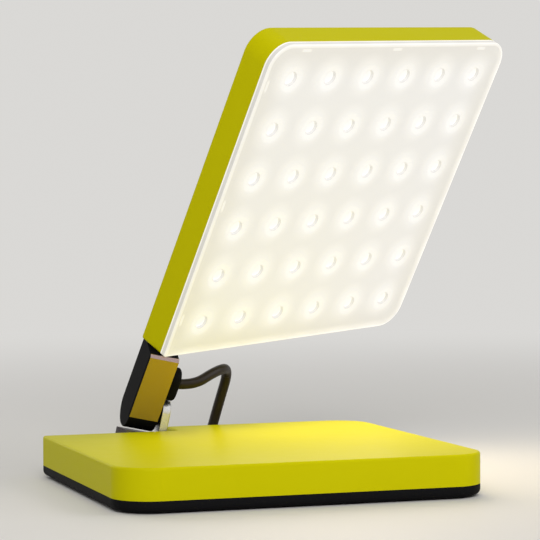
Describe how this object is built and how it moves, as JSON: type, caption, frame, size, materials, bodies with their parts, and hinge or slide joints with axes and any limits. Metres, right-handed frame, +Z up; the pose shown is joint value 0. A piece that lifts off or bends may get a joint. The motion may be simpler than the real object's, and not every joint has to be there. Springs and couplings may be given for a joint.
{
  "type": "led table lamp",
  "caption": "Cordless table lamp: square weighted base, corner hinge that rolls, tilts and swivels, short arm and square light head with a dimpled diffuser.",
  "frame": {"origin": "middle of the mat's underside, on the surface that the lamp stands on", "axes": "+Z up, +X to the right along the base's front edge, +Y to the back"},
  "size_m": [0.1658, 0.1538, 0.1548],
  "materials": {
    "lime_coat": "satin",
    "black_plastic": "satin",
    "gloss_black": "gloss",
    "black_rubber": "matte",
    "steel": "satin",
    "polished_metal": "polished",
    "satin_aluminium": "satin",
    "bronze": "satin",
    "battery_foil": "satin",
    "circuit_board": "satin",
    "board_white": "satin",
    "led": "gloss",
    "diffuser": "satin"
  },
  "bodies": {
    "base": {"base_housing": "lime_coat", "bottom_plate": "black_plastic", "anti_slip_mat": "black_rubber", "bottom_screws": "steel", "ballast_plate": "steel", "battery_pack": "battery_foil", "control_board": "circuit_board", "charging_socket": "steel", "power_switch": "black_plastic", "cable_grommet": "black_rubber", "roll_bush": "bronze"},
    "button": {"power_button": "black_plastic"},
    "bracket": {"hinge_bracket": "satin_aluminium", "roll_bolt": "steel", "roll_spring_washer": "steel", "roll_nut": "steel", "tilt_pin": "steel", "friction_washer": "black_plastic", "tilt_spring_washer": "steel", "tilt_nut": "steel", "link_cable": "black_rubber"},
    "arm": {"arm_body": "gloss_black", "arm_side_cover": "gloss_black", "arm_front_plate": "polished_metal", "cable_gland": "black_plastic", "swivel_spindle": "steel", "swivel_clip": "steel", "swivel_washer": "black_plastic"},
    "head": {"head_housing": "lime_coat", "swivel_bush": "bronze", "led_board": "board_white", "leds": "led", "board_screws": "steel", "diffuser": "diffuser"}
  },
  "joints": [
    {"name": "roll", "type": "hinge", "parent": "base", "child": "bracket", "pos_m": [-0.0261, 0.0525, 0.0088], "axis": [0, 1, 0], "range_deg": [-24.5, 0], "deforming": ["link_cable"]},
    {"name": "tilt", "type": "hinge", "parent": "bracket", "child": "arm", "pos_m": [-0.02334, 0.0525, 0.0215], "axis": [0.9772, 0, -0.2122], "range_deg": [-43, 22], "deforming": ["link_cable"]},
    {"name": "swivel", "type": "hinge", "parent": "arm", "child": "head", "pos_m": [-0.01855, 0.04048, 0.04359], "axis": [0.1873, -0.4695, 0.8628], "range_deg": [-26, 144]},
    {"name": "power_press", "type": "slide", "parent": "base", "child": "button", "axis": [0, -1, 0], "range_m": [0, 0.0008], "stiffness_N_per_m": 800}
  ]
}
